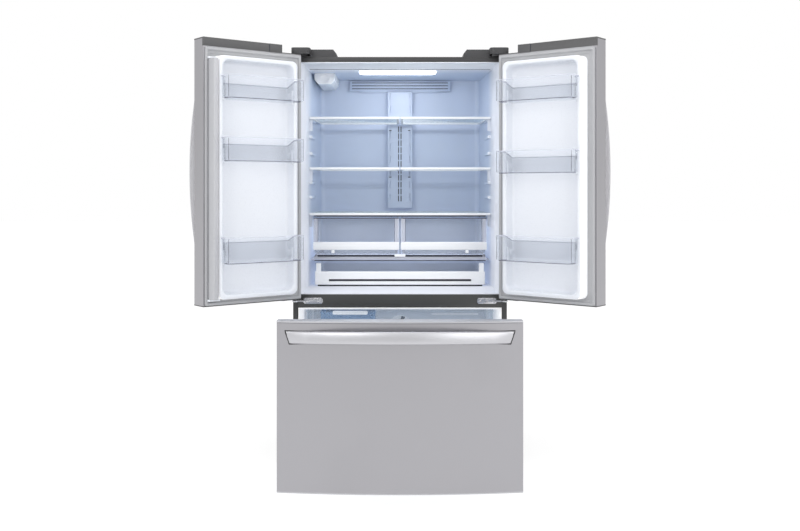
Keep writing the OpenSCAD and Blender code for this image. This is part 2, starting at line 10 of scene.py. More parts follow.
import bmesh
import bpy
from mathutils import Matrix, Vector

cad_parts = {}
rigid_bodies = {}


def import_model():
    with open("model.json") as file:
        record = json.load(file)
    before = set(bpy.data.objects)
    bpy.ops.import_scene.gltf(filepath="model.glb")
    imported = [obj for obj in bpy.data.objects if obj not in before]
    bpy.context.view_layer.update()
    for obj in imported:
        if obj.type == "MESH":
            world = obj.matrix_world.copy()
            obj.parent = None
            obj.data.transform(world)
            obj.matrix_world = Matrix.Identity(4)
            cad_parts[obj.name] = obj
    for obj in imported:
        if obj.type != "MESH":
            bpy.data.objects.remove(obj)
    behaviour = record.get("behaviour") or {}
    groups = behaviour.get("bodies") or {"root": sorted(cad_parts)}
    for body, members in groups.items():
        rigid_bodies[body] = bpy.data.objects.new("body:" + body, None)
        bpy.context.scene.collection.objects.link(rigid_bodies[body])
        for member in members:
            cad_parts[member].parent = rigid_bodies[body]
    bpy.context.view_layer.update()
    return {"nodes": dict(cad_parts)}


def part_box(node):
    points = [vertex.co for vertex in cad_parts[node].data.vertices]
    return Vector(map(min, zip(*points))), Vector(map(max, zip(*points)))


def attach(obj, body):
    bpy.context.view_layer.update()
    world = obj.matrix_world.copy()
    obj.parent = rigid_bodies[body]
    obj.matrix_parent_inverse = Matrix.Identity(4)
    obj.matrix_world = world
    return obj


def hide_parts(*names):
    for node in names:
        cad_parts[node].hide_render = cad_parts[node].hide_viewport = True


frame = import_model()
MM = 0.001

# ---------- named values, as in the CAD ----------

HX = 454  # half width of the case
GAP = 12  # from case front to the inner plane of doors and drawer
BOW_R = 3450.27  # radius of the bowed fronts
SLAB = 80  # thickness of a front at mid-width
SHEET_T, SHEET_R = 1.2, 2.8  # front sheet: thickness and corner radius
FOLD = 20  # width of the sheet's strip behind a front

DOOR_W, DOOR_Z0, DOOR_Z1, CAP_Z = 448, 715, 1773.5, 1738.5
DOOR_MID = 451  # local x of mid-width
NOTCH_X, NOTCH_Z = 92, 1742  # low part of a door's top, over the hinge pin
PAD_X = 150  # end of the raised pad inside a door's cap, which starts at the notch
PIN_X, PIN_V = 11, -26  # hinge pin in door coordinates
PIN_IN = 14  # hinge pin, in from the case's side
SWING = radians(142)  # how far the doors stand open at rest
RIM_X0, RIM_Z0, RIM_X1, RIM_Z1, RIM_H = 48, 744, 408, 1702, 55  # hollow rim inside a door
SEAL_X0, SEAL_Z0, SEAL_X1, SEAL_Z1 = 5, 720, 443, 1733.5
BIN_C = 229  # mid of a bin across the door
BIN_NAMES = ("top", "middle", "bottom")
BINS = {"left": ((1530, 1620), (1285, 1380), (886, 989)),  # floor and front edge of each bin
        "right": ((1530, 1620), (1240, 1332), (886, 989))}

DRAWER_Y = -483  # inner plane of the drawer front at rest, before GAP
DRAWER_Z0, DRAWER_Z1 = 60, 692
GROOVE_Z = DRAWER_Z1 - 7.8  # groove under the drawer's top cap, a real gap whose darkness is painted shade

HANDLE_OUT, HANDLE_T = 64, 13  # how far a handle stands out, and its thickness
DOOR_HANDLE_X = 422  # mid of a door's handle, across the door
DOOR_SPAN, DOOR_BAR, DOOR_SLANT = 343, 18, 12  # its half length, half width and end slant
HANDLE_Z = 632  # mid of the drawer's handle, in height
HANDLE_X, DRAWER_BAR, DRAWER_SLANT = 421, 23, 16  # its half length, half width and end slant
HANDLE_N = 64  # steps along a handle
END_SHADE_H = 0.9  # height of the dark rims of painted shade round a handle's ends

SHELVES = (1493.5, 1272)  # tops of the two split shelves
LOW_SHELF = 1071.5  # top of the crisper cover
WALL_X = 404  # just inside the lining's side walls, half width
DUCT_Y = 510.9  # just in front of the air duct
LOUVRES = (1655, 1669, 1683)  # upper edges
HINGE_SCREW, SMALL_SCREW = 4.6, 4.2  # radius of the heads


# ---------- materials ----------


def srgb(r, g, b):
    return tuple(c / 255 / 12.92 if c <= 10 else ((c / 255 + 0.055) / 1.055) ** 2.4
                 for c in (r, g, b))


def add(nt, kind, **settings):
    n = nt.nodes.new(kind)
    for k, v in settings.items():
        setattr(n, k, v)
    return n


def grain_nodes(nt, grain, stretch, blotch):
    """fine stretched noise and broad noise in the piece's own coordinates"""
    co = add(nt, "ShaderNodeTexCoord")
    mp = add(nt, "ShaderNodeMapping")
    mp.inputs["Scale"].default_value = stretch
    nt.links.new(co.outputs["Object"], mp.inputs["Vector"])
    out = []
    for scale, source, detail in ((grain, mp.outputs[0], 3), (blotch, co.outputs["Object"], 2)):
        n = add(nt, "ShaderNodeTexNoise")
        n.inputs["Scale"].default_value = scale
        n.inputs["Detail"].default_value = detail
        nt.links.new(source, n.inputs["Vector"])
        out.append(n.outputs["Fac"])
    return out


def ranged(nt, source, low, high):
    """spreads the middle of a noise over low to high"""
    n = add(nt, "ShaderNodeMapRange")
    n.inputs["From Min"].default_value, n.inputs["From Max"].default_value = 0.3, 0.7
    n.inputs["To Min"].default_value, n.inputs["To Max"].default_value = low, high
    nt.links.new(source, n.inputs["Value"])
    return n.outputs[0]


def mottled(nt, rgb, tint, fine, broad):
    """colour that varies by tint with both noises"""
    both = add(nt, "ShaderNodeMath", operation="MULTIPLY_ADD")
    both.inputs[1].default_value = both.inputs[2].default_value = 0.5
    nt.links.new(fine, both.inputs[0])
    mixed = add(nt, "ShaderNodeMath", operation="MULTIPLY")
    nt.links.new(both.outputs[0], mixed.inputs[0])
    lift = add(nt, "ShaderNodeMath", operation="ADD")
    lift.inputs[1].default_value = 0.5
    nt.links.new(broad, lift.inputs[0])
    nt.links.new(lift.outputs[0], mixed.inputs[1])
    mix = add(nt, "ShaderNodeMix", data_type="RGBA")
    mix.inputs["A"].default_value = (*(c * (1 - tint) for c in rgb), 1)
    mix.inputs["B"].default_value = (*(min(1, c * (1 + tint)) for c in rgb), 1)
    nt.links.new(ranged(nt, mixed.outputs[0], -0.6, 0.6), mix.inputs["Factor"])
    return mix.outputs["Result"]


def painted_depth_shade(nt, colour, kept, y0, y1):
    """painted shade: multiplies a colour by kept from depth y0 to y1, in metres, so it darkens
    further back
    """
    axes = add(nt, "ShaderNodeSeparateXYZ")
    nt.links.new(add(nt, "ShaderNodeTexCoord").outputs["Object"], axes.inputs[0])
    along = add(nt, "ShaderNodeMapRange", interpolation_type="SMOOTHSTEP")
    along.inputs["From Min"].default_value, along.inputs["From Max"].default_value = y0, y1
    nt.links.new(axes.outputs["Y"], along.inputs["Value"])
    shift = add(nt, "ShaderNodeMix", data_type="RGBA", blend_type="MULTIPLY")
    shift.inputs["B"].default_value = (*kept, 1)
    nt.links.new(colour, shift.inputs["A"])
    nt.links.new(along.outputs[0], shift.inputs["Factor"])
    return shift.outputs["Result"]


def see_through(nt, shader, rgb, least, most):
    """mixes the finish with clear plastic or glass: least of it seen square on, most at edges"""
    glass = add(nt, "ShaderNodeBsdfTransparent")
    glass.inputs[0].default_value = (*(min(1, 0.84 + 0.17 * c ** 0.5) for c in rgb), 1)
    edge = add(nt, "ShaderNodeLayerWeight")
    edge.inputs["Blend"].default_value = 0.2
    share = add(nt, "ShaderNodeMapRange")
    share.inputs["To Min"].default_value, share.inputs["To Max"].default_value = least, most
    nt.links.new(edge.outputs["Facing"], share.inputs["Value"])
    mix = add(nt, "ShaderNodeMixShader")
    nt.links.new(share.outputs[0], mix.inputs[0])
    nt.links.new(glass.outputs[0], mix.inputs[1])
    nt.links.new(shader.outputs[0], mix.inputs[2])
    nt.links.new(mix.outputs[0], nt.nodes["Material Output"].inputs["Surface"])


def material(name, rgb, rough=0.4, spread=0.06, tint=0.03, grain=700, stretch=(1, 1, 1), blotch=5,
             bump=0.15, depth=0.0003, clear=None, deep=None, **sockets):
    """procedural finish: colour mottled by tint, roughness by spread, and fine bump

    clear=(least, most) makes it see-through; a depth shade of (colour, y0, y1) paints shade on
    it, darker further back.
    """
    m = bpy.data.materials.new(name)
    m.use_nodes = True
    nt = m.node_tree
    shader = nt.nodes["Principled BSDF"]
    fine, broad = grain_nodes(nt, grain, stretch, blotch)
    colour = mottled(nt, rgb, tint, fine, broad)
    if deep:
        colour = painted_depth_shade(nt, colour, *deep)
    nt.links.new(colour, shader.inputs["Base Color"])
    nt.links.new(ranged(nt, fine, max(0.02, rough - spread), rough + spread),
                 shader.inputs["Roughness"])
    b = add(nt, "ShaderNodeBump")
    b.inputs["Strength"].default_value = bump
    b.inputs["Distance"].default_value = depth
    nt.links.new(fine, b.inputs["Height"])
    nt.links.new(b.outputs[0], shader.inputs["Normal"])
    for k, v in sockets.items():
        shader.inputs[k.replace("_", " ")].default_value = v
    if clear:
        see_through(nt, shader, rgb, *clear)
    return m


LINING_PAINTED_SHADE = ((0.71, 0.775, 0.89), 0.1, 0.26)  # painted shade: the lining's colour darkens and turns bluer towards the back
BRUSHED = dict(grain=9, stretch=(90, 90, 2.2), blotch=3, spread=0.05, bump=0.05, depth=0.0001,
               Metallic=1.0)
WHITE_GLOW = (1, 1, 1, 1)
FINISHES = {
    "brushed_stainless": dict(rgb=(169, 168, 172), rough=0.33, tint=0.035, Anisotropic=0.35,
                              **BRUSHED),
    "handle_stainless": dict(rgb=(196, 196, 200), rough=0.36, tint=0.02, Anisotropic=0.3,
                             **BRUSHED),
    # painted light: near-white for the handles' faces towards the front, which lie in shade
    "handle_inner": dict(rgb=(244, 244, 247), rough=0.42, tint=0.02, grain=300, bump=0.05,
                         Metallic=0.15),
    "silver_trim": dict(rgb=(186, 186, 190), rough=0.36, Metallic=0.6, bump=0.05),
    "dark_case_paint": dict(rgb=(62, 62, 63), rough=0.42, tint=0.05, grain=420, bump=0.25,
                            Metallic=0.2),
    "flange_paint": dict(rgb=(60, 61, 60), rough=0.36, tint=0.05, grain=520, bump=0.12),
    "dark_frame_paint": dict(rgb=(70, 70, 72), rough=0.45, tint=0.08, bump=0.2),
    "galvanised_back": dict(rgb=(150, 151, 153), rough=0.38, spread=0.08, tint=0.08, grain=60,
                            blotch=18, bump=0.05, Metallic=0.85),
    "dark_plastic": dict(rgb=(44, 44, 46), rough=0.5, tint=0.08, grain=1400, bump=0.3),
    "foam": dict(rgb=(232, 214, 160), rough=0.85, tint=0.12, grain=160, bump=0.8, depth=0.001),
    "white_liner": dict(rgb=(226, 229, 235), rough=0.3, spread=0.05, tint=0.012, grain=260,
                        bump=0.06, Coat_Weight=0.12, Coat_Roughness=0.3),
    # painted shade: the cavity lining darkens and turns bluer with its own depth
    "cavity_liner": dict(rgb=(229, 232, 239), rough=0.34, spread=0.05, tint=0.015, grain=260,
                         bump=0.06, deep=LINING_PAINTED_SHADE, Coat_Weight=0.1, Coat_Roughness=0.3),
    "white_trim": dict(rgb=(240, 242, 245), rough=0.26, spread=0.04, tint=0.012, grain=500,
                       bump=0.05),
    "hinge_steel": dict(rgb=(150, 150, 152), rough=0.35, tint=0.08, Metallic=0.8, bump=0.1),
    "cover_plastic": dict(rgb=(58, 58, 60), rough=0.5, tint=0.05, grain=1300, bump=0.3),
    "cap_plastic": dict(rgb=(79, 79, 80), rough=0.45, tint=0.05, grain=1300, bump=0.25),
    "plated_hinge": dict(rgb=(198, 199, 203), rough=0.24, tint=0.06, grain=200, bump=0.06,
                         Metallic=0.95),
    # the seals' own grey, also used as painted shade on the door's flat inner face and the strip
    # between seal and rim
    "gasket_grey": dict(rgb=(168, 169, 172), rough=0.6, tint=0.04, grain=900, bump=0.3),
    "grey_mullion": dict(rgb=(180, 181, 185), rough=0.42, tint=0.03, grain=900, bump=0.2),
    "black_paint": dict(rgb=(34, 34, 36), rough=0.35, tint=0.1, grain=380, bump=0.35),
    "black_rubber": dict(rgb=(30, 30, 31), rough=0.7, tint=0.12, grain=1500, bump=0.5),
    # dark for real slots and seams, and for painted shade in gaps between parts
    "slot_dark": dict(rgb=(52, 54, 64), rough=0.6, tint=0.1, grain=900, bump=0.2),
    "rail_steel": dict(rgb=(176, 177, 180), rough=0.28, tint=0.06, grain=120, bump=0.08,
                       Metallic=0.95),
    "basket_plastic": dict(rgb=(236, 240, 246), rough=0.3, tint=0.015, grain=700, bump=0.1,
                           Subsurface_Weight=0.1),
    "clear_plastic": dict(rgb=(222, 228, 238), rough=0.08, spread=0.02, grain=60, bump=0.03,
                          clear=(0.02, 0.4)),
    "bin_edge": dict(rgb=(96, 94, 116), rough=0.2, spread=0.03, grain=200, bump=0.05,
                     clear=(0.55, 0.9)),
    "bin_rim": dict(rgb=(224, 227, 238), rough=0.12, spread=0.03, grain=200, bump=0.05,
                    clear=(0.4, 0.85)),
    # painted light: a faint glow on the door rims' outer sides and on the freezer lining,
    # standing in for light on them
    "rim_white": dict(rgb=(252, 252, 253), rough=0.3, tint=0.01, grain=260, bump=0.05,
                      Emission_Color=WHITE_GLOW, Emission_Strength=0.14),
    "tray_plastic": dict(rgb=(206, 222, 240), rough=0.14, spread=0.03, grain=90, bump=0.04,
                         clear=(0.06, 0.5)),
    "ice_blue": dict(rgb=(158, 190, 224), rough=0.16, spread=0.03, grain=90, bump=0.04,
                     clear=(0.35, 0.8)),
    "shelf_glass": dict(rgb=(206, 224, 226), rough=0.04, spread=0.01, grain=30, bump=0.01,
                        clear=(0.06, 0.6)),
    "lamp_lens": dict(rgb=(250, 250, 255), rough=0.35, tint=0.02, grain=40, stretch=(8, 1, 1),
                      bump=0.3, Emission_Color=(0.96, 0.98, 1, 1), Emission_Strength=3.0),
}
MATS = {name: material(name, srgb(*finish.pop("rgb")), **finish)
        for name, finish in FINISHES.items()}

# ---------- mesh code ----------


def rounded(x0, y0, x1, y1, r, n=6):
    """rounded rectangle, counter-clockwise"""
    pts = []
    for cx, cy, a0 in ((x1 - r, y0 + r, -90), (x1 - r, y1 - r, 0), (x0 + r, y1 - r, 90),
                       (x0 + r, y0 + r, 180)):
        for k in range(n + 1):
            a = radians(a0 + 90 * k / n)
            pts.append((cx + r * cos(a), cy + r * sin(a)))
    return pts


def arc(cx, cy, r, a0, a1, n):
    turns = [radians(a0 + (a1 - a0) * k / n) for k in range(n + 1)]
    return [(cx + r * cos(a), cy + r * sin(a)) for a in turns]


def world(p):
    return p


def door(side):
    """maps door coordinates to the row frame at rest: x from the hinge edge"""

    def place(p):
        x, v, z = p
        return (side * (-HX + PIN_IN + (x - PIN_X) * cos(SWING) + (v - PIN_V) * sin(SWING)),
                PIN_V - GAP - (x - PIN_X) * sin(SWING) + (v - PIN_V) * cos(SWING), z)

    return place


def drawer(p):
    return (p[0], p[1] + DRAWER_Y - GAP, p[2])


def box_mm(node):
    """a node's lowest and highest corners at rest"""
    return [[c / MM for c in v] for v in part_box(node)]


class Mesh:
    """a mesh drawn in mm through a placing function"""

    def __init__(self, place=world):
        self.bm, self.place = bmesh.new(), place

    def rows(self, rings):
        return [[self.bm.verts.new([c * MM for c in self.place(p)]) for p in ring]
                for ring in rings]

    def bridge(self, a, b):
        n = len(a)
        for i in range(n):
            j = (i + 1) % n
            self.bm.faces.new((a[i], a[j], b[j], b[i]))

    def loft(self, rings, caps=(True, True)):
        """skin over loops, with the first and the last one filled"""
        rows = self.rows(rings)
        for a, b in zip(rows, rows[1:]):
            self.bridge(a, b)
        if caps[0]:
            self.bm.faces.new(rows[0][::-1])
        if caps[1]:
            self.bm.faces.new(rows[-1])
        return self

    def ring(self, rings):
        """closed loft of loops, last joined to first"""
        rows = self.rows(rings)
        for a, b in zip(rows, rows[1:] + rows[:1]):
            self.bridge(a, b)

    def block(self, lo, hi):
        (a, b, c), (d, e, f) = lo, hi
        self.loft([[(a, b, z), (d, b, z), (d, e, z), (a, e, z)] for z in (c, f)])

    def pill(self, lo, hi, r, axis=2, soft=0.0):
        """block with corners rounded by r about axis; soft rounds its two end rims"""
        i, j = [k for k in range(3) if k != axis]
        rings = []
        steps = [(soft, 0), (soft * 0.3, soft * 0.3), (0, soft)] if soft else [(0, 0)]
        for end, sign in ((lo[axis], 1), (hi[axis], -1)):
            for inset, lift in steps if sign > 0 else steps[::-1]:
                ring = []
                for u, w in rounded(lo[i] + inset, lo[j] + inset, hi[i] - inset, hi[j] - inset,
                                    max(0.2, r - inset), 5):
                    p = [0, 0, 0]
                    p[i], p[j], p[axis] = u, w, end + sign * lift
                    ring.append(tuple(p))
                rings.append(ring)
        self.loft(rings)

    def lathe(self, centre, axis, profile, n):
        """profile of (radius, height) pairs turned about axis through centre"""
        i, j = [k for k in range(3) if k != axis]
        rings = []
        for r, h in profile:
            ring = []
            for k in range(n):
                p = list(centre)
                p[i] += r * cos(2 * pi * k / n)
                p[j] += r * sin(2 * pi * k / n)
                p[axis] += h
                ring.append(tuple(p))
            rings.append(ring)
        self.loft(rings)

    def done(self, name, mat, body, slot=None, replaces=(), angle=40, bevel=0.0, seg=2):
        """makes the piece: edges over angle stay sharp, or all sharp edges get a bevel"""
        bm = self.bm
        bmesh.ops.recalc_face_normals(bm, faces=bm.faces)
        for f in bm.faces:
            f.smooth = True
        if not bevel:
            for e in bm.edges:
                if len(e.link_faces) == 2 and e.calc_face_angle(0) > radians(angle):
                    e.smooth = False
        me = bpy.data.meshes.new(name)
        bm.to_mesh(me)
        bm.free()
        o = bpy.data.objects.new(name, me)
        bpy.context.scene.collection.objects.link(o)
        me.materials.append(MATS[mat])
        if bevel:
            mod = o.modifiers.new("edge", "BEVEL")
            mod.width, mod.segments = bevel * MM, seg
            mod.limit_method, mod.angle_limit = "ANGLE", radians(32)
            mod.harden_normals = True
        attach(o, body)
        if replaces:
            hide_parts(*replaces)
        return o


def body_of(node):
    return frame["nodes"][node].parent.name.split(":")[-1]


def refine(node, mat, slot, bevel, seg=2):
    """the CAD node's own shape as a clean mesh with rounded edges"""
    m = Mesh()
    m.bm.from_mesh(frame["nodes"][node].data)
    bmesh.ops.remove_doubles(m.bm, verts=m.bm.verts, dist=2e-5)
    bmesh.ops.dissolve_limit(m.bm, angle_limit=radians(0.6), verts=m.bm.verts, edges=m.bm.edges)
    m.done(node + "_fine", mat, body_of(node), slot, (node,), bevel=bevel, seg=seg)


def tub(lo, hi, r, wall=3, fillet=8, lip=3, draft=2.0):
    """open moulded box with drafted walls, filleted floor and a rolled lip"""
    (x0, y0, z0), (x1, y1, z1) = lo, hi

    def ring(inset, z):
        corners = rounded(x0 + inset, y0 + inset, x1 - inset, y1 - inset,
                          max(1.0, r - inset * 0.5))
        return [(x, y, z) for x, y in corners]

    def floor_ring(inset, z, a):
        a = radians(a)
        return ring(inset + fillet * (1 - sin(a)), z + fillet * (1 - cos(a)))

    turn = (0, 22, 45, 68, 90)
    rings = [floor_ring(lip + draft, z0, a) for a in turn]
    rings += [ring(inset, z1 - drop) for inset, drop in
              ((lip, 7), (0.8, 5.5), (0, 4.5), (0, 1.2), (1.0, 0), (lip + wall - 0.8, 0),
               (lip + wall, 1))]
    rings += [floor_ring(lip + draft + wall, z0 + wall, a) for a in turn[::-1]]
    return Mesh().loft(rings)


def screw(m, centre, axis, sign, r):
    """domed screw head with a round drive recess"""
    dome = ((1, 0), (1, 0.2), (0.85, 0.42), (0.5, 0.55), (0.36, 0.56), (0.3, 0.2), (0.05, 0.2))
    m.lathe(centre, axis, [(r * out, sign * r * up) for out, up in dome], 20)


# ---------- bowed fronts and handles ----------


def front_depth(x, mid):
    """v of a bowed front"""
    return BOW_R - SLAB - sqrt(BOW_R ** 2 - (x - mid) ** 2)


def shell_path(x0, x1, inset, returns, mid):
    """outline of a front sheet from above, from its left side round the bowed face to its right

    With returns, the sheet is folded in behind the front.
    """

    def front(x):
        return front_depth(x, mid) + inset

    a, b, r = x0 + inset, x1 - inset, max(0.5, SHEET_R - inset)
    lip = -inset if returns else -9
    steps = 14
    pts = [(x0 + FOLD, lip)] if returns else []
    pts += [(a, lip)]
    pts += arc(a + r, front(a + r) + r, r, 180, 270, 5)
    pts += [(x, front(x)) for x in (a + r + (b - a - 2 * r) * k / steps for k in range(1, steps))]
    pts += arc(b - r, front(b - r) + r, r, 270, 360, 5)
    pts += [(b, lip)]
    pts += [(x1 - FOLD, lip)] if returns else []
    return pts


def sheet_part(m, x0, x1, z0, z1, returns, mid):
    outer = shell_path(x0, x1, 0, returns, mid)
    inner = shell_path(x0, x1, SHEET_T, returns, mid)
    loop = outer + inner[::-1]
    m.loft([[(x, v, z) for x, v in loop] for z in (z0, z1)])


# bar section: across as a share of the half width, outwards as a share of the thickness
BAR_LOOP = ([(-0.97, 0.0), (0.97, 0.0), (1.0, 0.12), (1.0, 0.5)]
            + [(0.76 + 0.24 * cos(radians(a)), 0.5 + 0.5 * sin(radians(a)))
               for a in range(15, 91, 15)]
            + [(0.4, 1.0), (0.0, 1.0), (-0.4, 1.0)]
            + [(-0.76 - 0.24 * sin(radians(a)), 0.5 + 0.5 * cos(radians(a)))
               for a in range(0, 91, 15)]
            + [(-1.0, 0.12)])


def handle_bar(m, span, sag, base, put, half_w, slant):
    """bowed bar with a crowned face, its lower side shorter by slant at each end

    put(along, across, stand) gives a point that stands out from the front face, and
    base(along) is how far the front face falls back from mid-span.
    """
    bow = (span * span + sag * sag) / (2 * sag)
    rings = []
    for k in range(HANDLE_N + 1):
        t = -1 + 2 * k / HANDLE_N
        end = min(1.0, (1 - abs(t)) * 26)  # below 1 only in the rounded tips
        ring = []
        for u, w in BAR_LOOP:
            u *= half_w
            along = t * (span - slant * (half_w - u) / (2 * half_w))
            top = max(2.2, sag - (bow - sqrt(bow * bow - along * along)) - base(along))
            crown = 1.8 * (u / half_w) ** 2 + 1.2 * (1 - sqrt(end))
            low = max(-0.8, top - HANDLE_T)
            stand = low + (max(top - crown, low + 0.4) - low) * w
            ring.append(put(along, u * (1 - 0.05 * (1 - end)), stand))
        rings.append(ring)
    m.loft(rings)


def painted_light_inside(bar):
    """painted light: the bar's face towards the front gets a near-white satin finish, much
    lighter than the steel, which lifts the shade there
    """
    bar.data.materials.append(MATS["handle_inner"])
    for k in range(HANDLE_N):
        bar.data.polygons[k * len(BAR_LOOP)].material_index = 1


def handle_end_shade(m, span, put, half_w, slant, reach_hi, reach_lo):
    """painted shade: dark rim round each end of a handle, in the gap where the bar meets the
    front, thinning out along its two sides
    """
    path = []  # along, across, and how far the rim grows both ways
    for k in range(9):  # upper side towards the end
        path.append((span - reach_hi * (1 - k / 8), half_w, 0, 0.3 + 3.4 * k / 8))
    for k in range(1, 8):  # the slanted end
        path.append((span, half_w * (1 - 2 * k / 8), 4.2, 0))
    for k in range(9):  # lower side back again
        path.append((span - reach_lo * k / 8, -half_w, 0, -3.6 + 3.3 * k / 8))
    for e in (-1, 1):
        rings = []
        for along, u, grow_a, grow_u in path:
            a = e * (along - slant * (half_w - u) / (2 * half_w))
            out = (a + e * grow_a, u + grow_u)
            if grow_a:
                inside = (a - e, u)
            else:
                inside = (a, u - 1.0 if u > 0 else u + 1.0)
                if abs(grow_u) > 2.4:  # closes the rim's two corners
                    out = (out[0] + e * 3.4, out[1])
            rings.append([put(*inside, 0.0), put(*out, 0.0), put(*out, END_SHADE_H),
                          put(*inside, END_SHADE_H)])
        m.loft(rings)


# ---------- doors ----------


def door_front(place, body, tag):
    """sheet, its top part beside the notch over the hinge pin, and the cap with a seam line"""
    m = Mesh(place)
    sheet_part(m, 0, DOOR_W, DOOR_Z0 + 4, CAP_Z, True, DOOR_MID)
    sheet_part(m, 0, DOOR_W, CAP_Z, NOTCH_Z, False, DOOR_MID)
    m.done(tag + "_door_sheet", "brushed_stainless", body, replaces=(tag + "_door_skin",),
           angle=50)
    outer, inner = [[(NOTCH_X, front_depth(NOTCH_X, DOOR_MID) + inset)]
                    + [p for p in shell_path(0, DOOR_W, inset, False, DOOR_MID) if p[0] > NOTCH_X]
                    for inset in (0, SHEET_T)]
    m = Mesh(place)
    m.loft([[(x, v, z) for x, v in outer + inner[::-1]] for z in (NOTCH_Z, DOOR_Z1 - 5)])
    m.done(tag + "_door_sheet_top", "brushed_stainless", body, angle=50)
    refine(tag + "_door_caps", "cap_plastic", "cap_plastic", 1.6, 3)
    m = Mesh(place)
    m.block((PAD_X + 0.1, -0.2, CAP_Z + 1.5), (PAD_X + 3, 0.7, DOOR_Z1 - 2))
    m.done(tag + "_cap_seam", "slot_dark", body, "cap_plastic", angle=30)


def door_lining(side, place, body, tag):
    """flat inner face, then the hollow rim and recess in one moulded skin"""

    def loop(inset, v, r):
        return [(x, v, z) for x, z in
                rounded(RIM_X0 + inset, RIM_Z0 + inset, RIM_X1 - inset, RIM_Z1 - inset, r, 8)]

    def edge(v):
        return [(x, v, z) for x, z in rounded(FOLD, DOOR_Z0 + 4, DOOR_W - FOLD, CAP_Z, 2, 8)]

    # the flat inner face, under the seal and the grey strip, is drawn in the seal's grey as
    # painted shade
    m = Mesh(place)
    m.loft([edge(-2), edge(0), loop(-2, 0, 25), loop(-2, -2, 25)], caps=(False, False))
    m.done(tag + "_door_inner_face", "gasket_grey", body, "white_liner", angle=50)

    outer, draft, top, inner, recess = 5, 1.2, 13, 6, 12  # fillets, draft, inset of the rim's top
    rings = [loop(-2, -1.2, 25), loop(-2, 0, 25), loop(-1.5, 0.2, 25), loop(0, 1.5, 24),
             loop(0.6, 26, 24), loop(draft, RIM_H - outer, 24)]
    for a in (30, 60, 90):
        a = radians(a)
        rings.append(loop(draft + outer * (1 - cos(a)), RIM_H - outer + outer * sin(a), 24))
    rings.append(loop(top, RIM_H, 26))
    for a in (30, 60, 90):
        a = radians(a)
        rings.append(loop(top + inner * sin(a), RIM_H - inner * (1 - cos(a)), 27))
    rings += [loop(19.5, 30, 27), loop(20, recess, 27)]
    for a in (30, 60, 85, 90):
        a = radians(a)
        rings.append(loop(20 + recess * (1 - cos(a)), recess - recess * sin(a), 27))
    m = Mesh(place)
    m.loft(rings, caps=(False, True))
    for z0, _ in BINS[tag]:  # lugs that carry each bin
        for x0, x1 in ((67.5, 74), (382, 388.5)):
            m.pill((x0, 10, z0 + 18), (x1, 34, z0 + 42), 4, axis=0, soft=1.0)
            m.pill((x0, 38, z0 - 8), (x1, 50, z0 + 52), 4, axis=0, soft=1.0)
    if side > 0:  # ears that carry the flip mullion
        for z in (737.5, 1687.5):
            m.pill((384, 8, z), (436, 22, z + 8), 5, axis=2, soft=0.8)
    skin = m.done(tag + "_door_liner_skin", "white_liner", body,
                  replaces=(tag + "_door_liner",), angle=55)
    skin.data.materials.append(MATS["rim_white"])
    n = len(rings[0])
    for f in skin.data.polygons[3 * n:6 * n]:  # the rim's outer sides, which glow faintly: painted light
        f.material_index = 1


def door_seal(place, body, tag):
    """gasket of magnet bulb, bellows groove and inner lip, and inside it a grey strip of painted
    shade between the seal and the rim
    """

    def loop(inset, v):
        return [(x, v, z) for x, z in
                rounded(SEAL_X0 + inset, SEAL_Z0 + inset, SEAL_X1 - inset, SEAL_Z1 - inset, 6, 5)]

    section = ((0.4, 0.2), (0, 2), (0, 8), (0.8, 10.2), (2.4, 10.8), (8.5, 10.8), (10, 10),
               (10.6, 8), (10.4, 5), (12, 3.2), (15, 4.4), (18, 3.0), (20, 2.6), (23, 2.4),
               (23.2, 0.2))
    shade_band = ((24, 0.1), (24, 0.5), (42.4, 0.5), (42.4, 0.1))
    m = Mesh(place)
    m.ring([loop(i, v) for i, v in section])
    m.done(tag + "_door_seal", "gasket_grey", body, replaces=(tag + "_door_gasket",), angle=60)
    # painted shade: a grey strip over the white lining between the seal and the rim
    m = Mesh(place)
    m.ring([loop(i, v) for i, v in shade_band])
    m.done(tag + "_door_seal_track", "gasket_grey", body, angle=30)


def door_handle(place, body, tag):
    """upright handle and the dark rims of painted shade round its ends"""

    def put(a, u, stand):
        x = DOOR_HANDLE_X - u
        return (x, front_depth(x, DOOR_MID) - stand, (DOOR_Z0 + DOOR_Z1) / 2 + a)

    m = Mesh(place)
    handle_bar(m, DOOR_SPAN, HANDLE_OUT, lambda a: 0, put, DOOR_BAR, DOOR_SLANT)
    painted_light_inside(m.done(tag + "_door_handle_bar", "handle_stainless", body,
                        replaces=(tag + "_door_handle",), angle=45))
    m = Mesh(place)
    handle_end_shade(m, DOOR_SPAN, put, DOOR_BAR, DOOR_SLANT, 90, 60)
    m.done(tag + "_handle_seats", "dark_plastic", body, "cap_plastic", angle=30)


def bin_ring(inset):
    """bin outline from above

    The back is held between the rim's walls; in front of the rim it is wider, with a bowed front.
    """
    back_w, front_w, r, steps = 159 - inset, 175 - inset, 16, 14
    back, step = 4 + inset, RIM_H + 6 + inset

    def front(u):
        return 129 - inset - 11 * (u / 175) ** 2

    half = [(back_w - 6, back), (back_w - 1.8, back + 1.8), (back_w, back + 6),
            (back_w, step - 4), (back_w + 2, step - 1), (front_w - 4, step + 1),
            (front_w, step + 4)]
    bend = front_w - r
    half += [(bend + r * cos(radians(a)), front(bend) - r + r * sin(radians(a)))
             for a in (0, 22, 45, 68)]
    half += [(bend * (1 - k / steps), front(bend * (1 - k / steps))) for k in range(steps)]
    return half + [(0, front(0))] + [(-u, v) for u, v in half[::-1]]


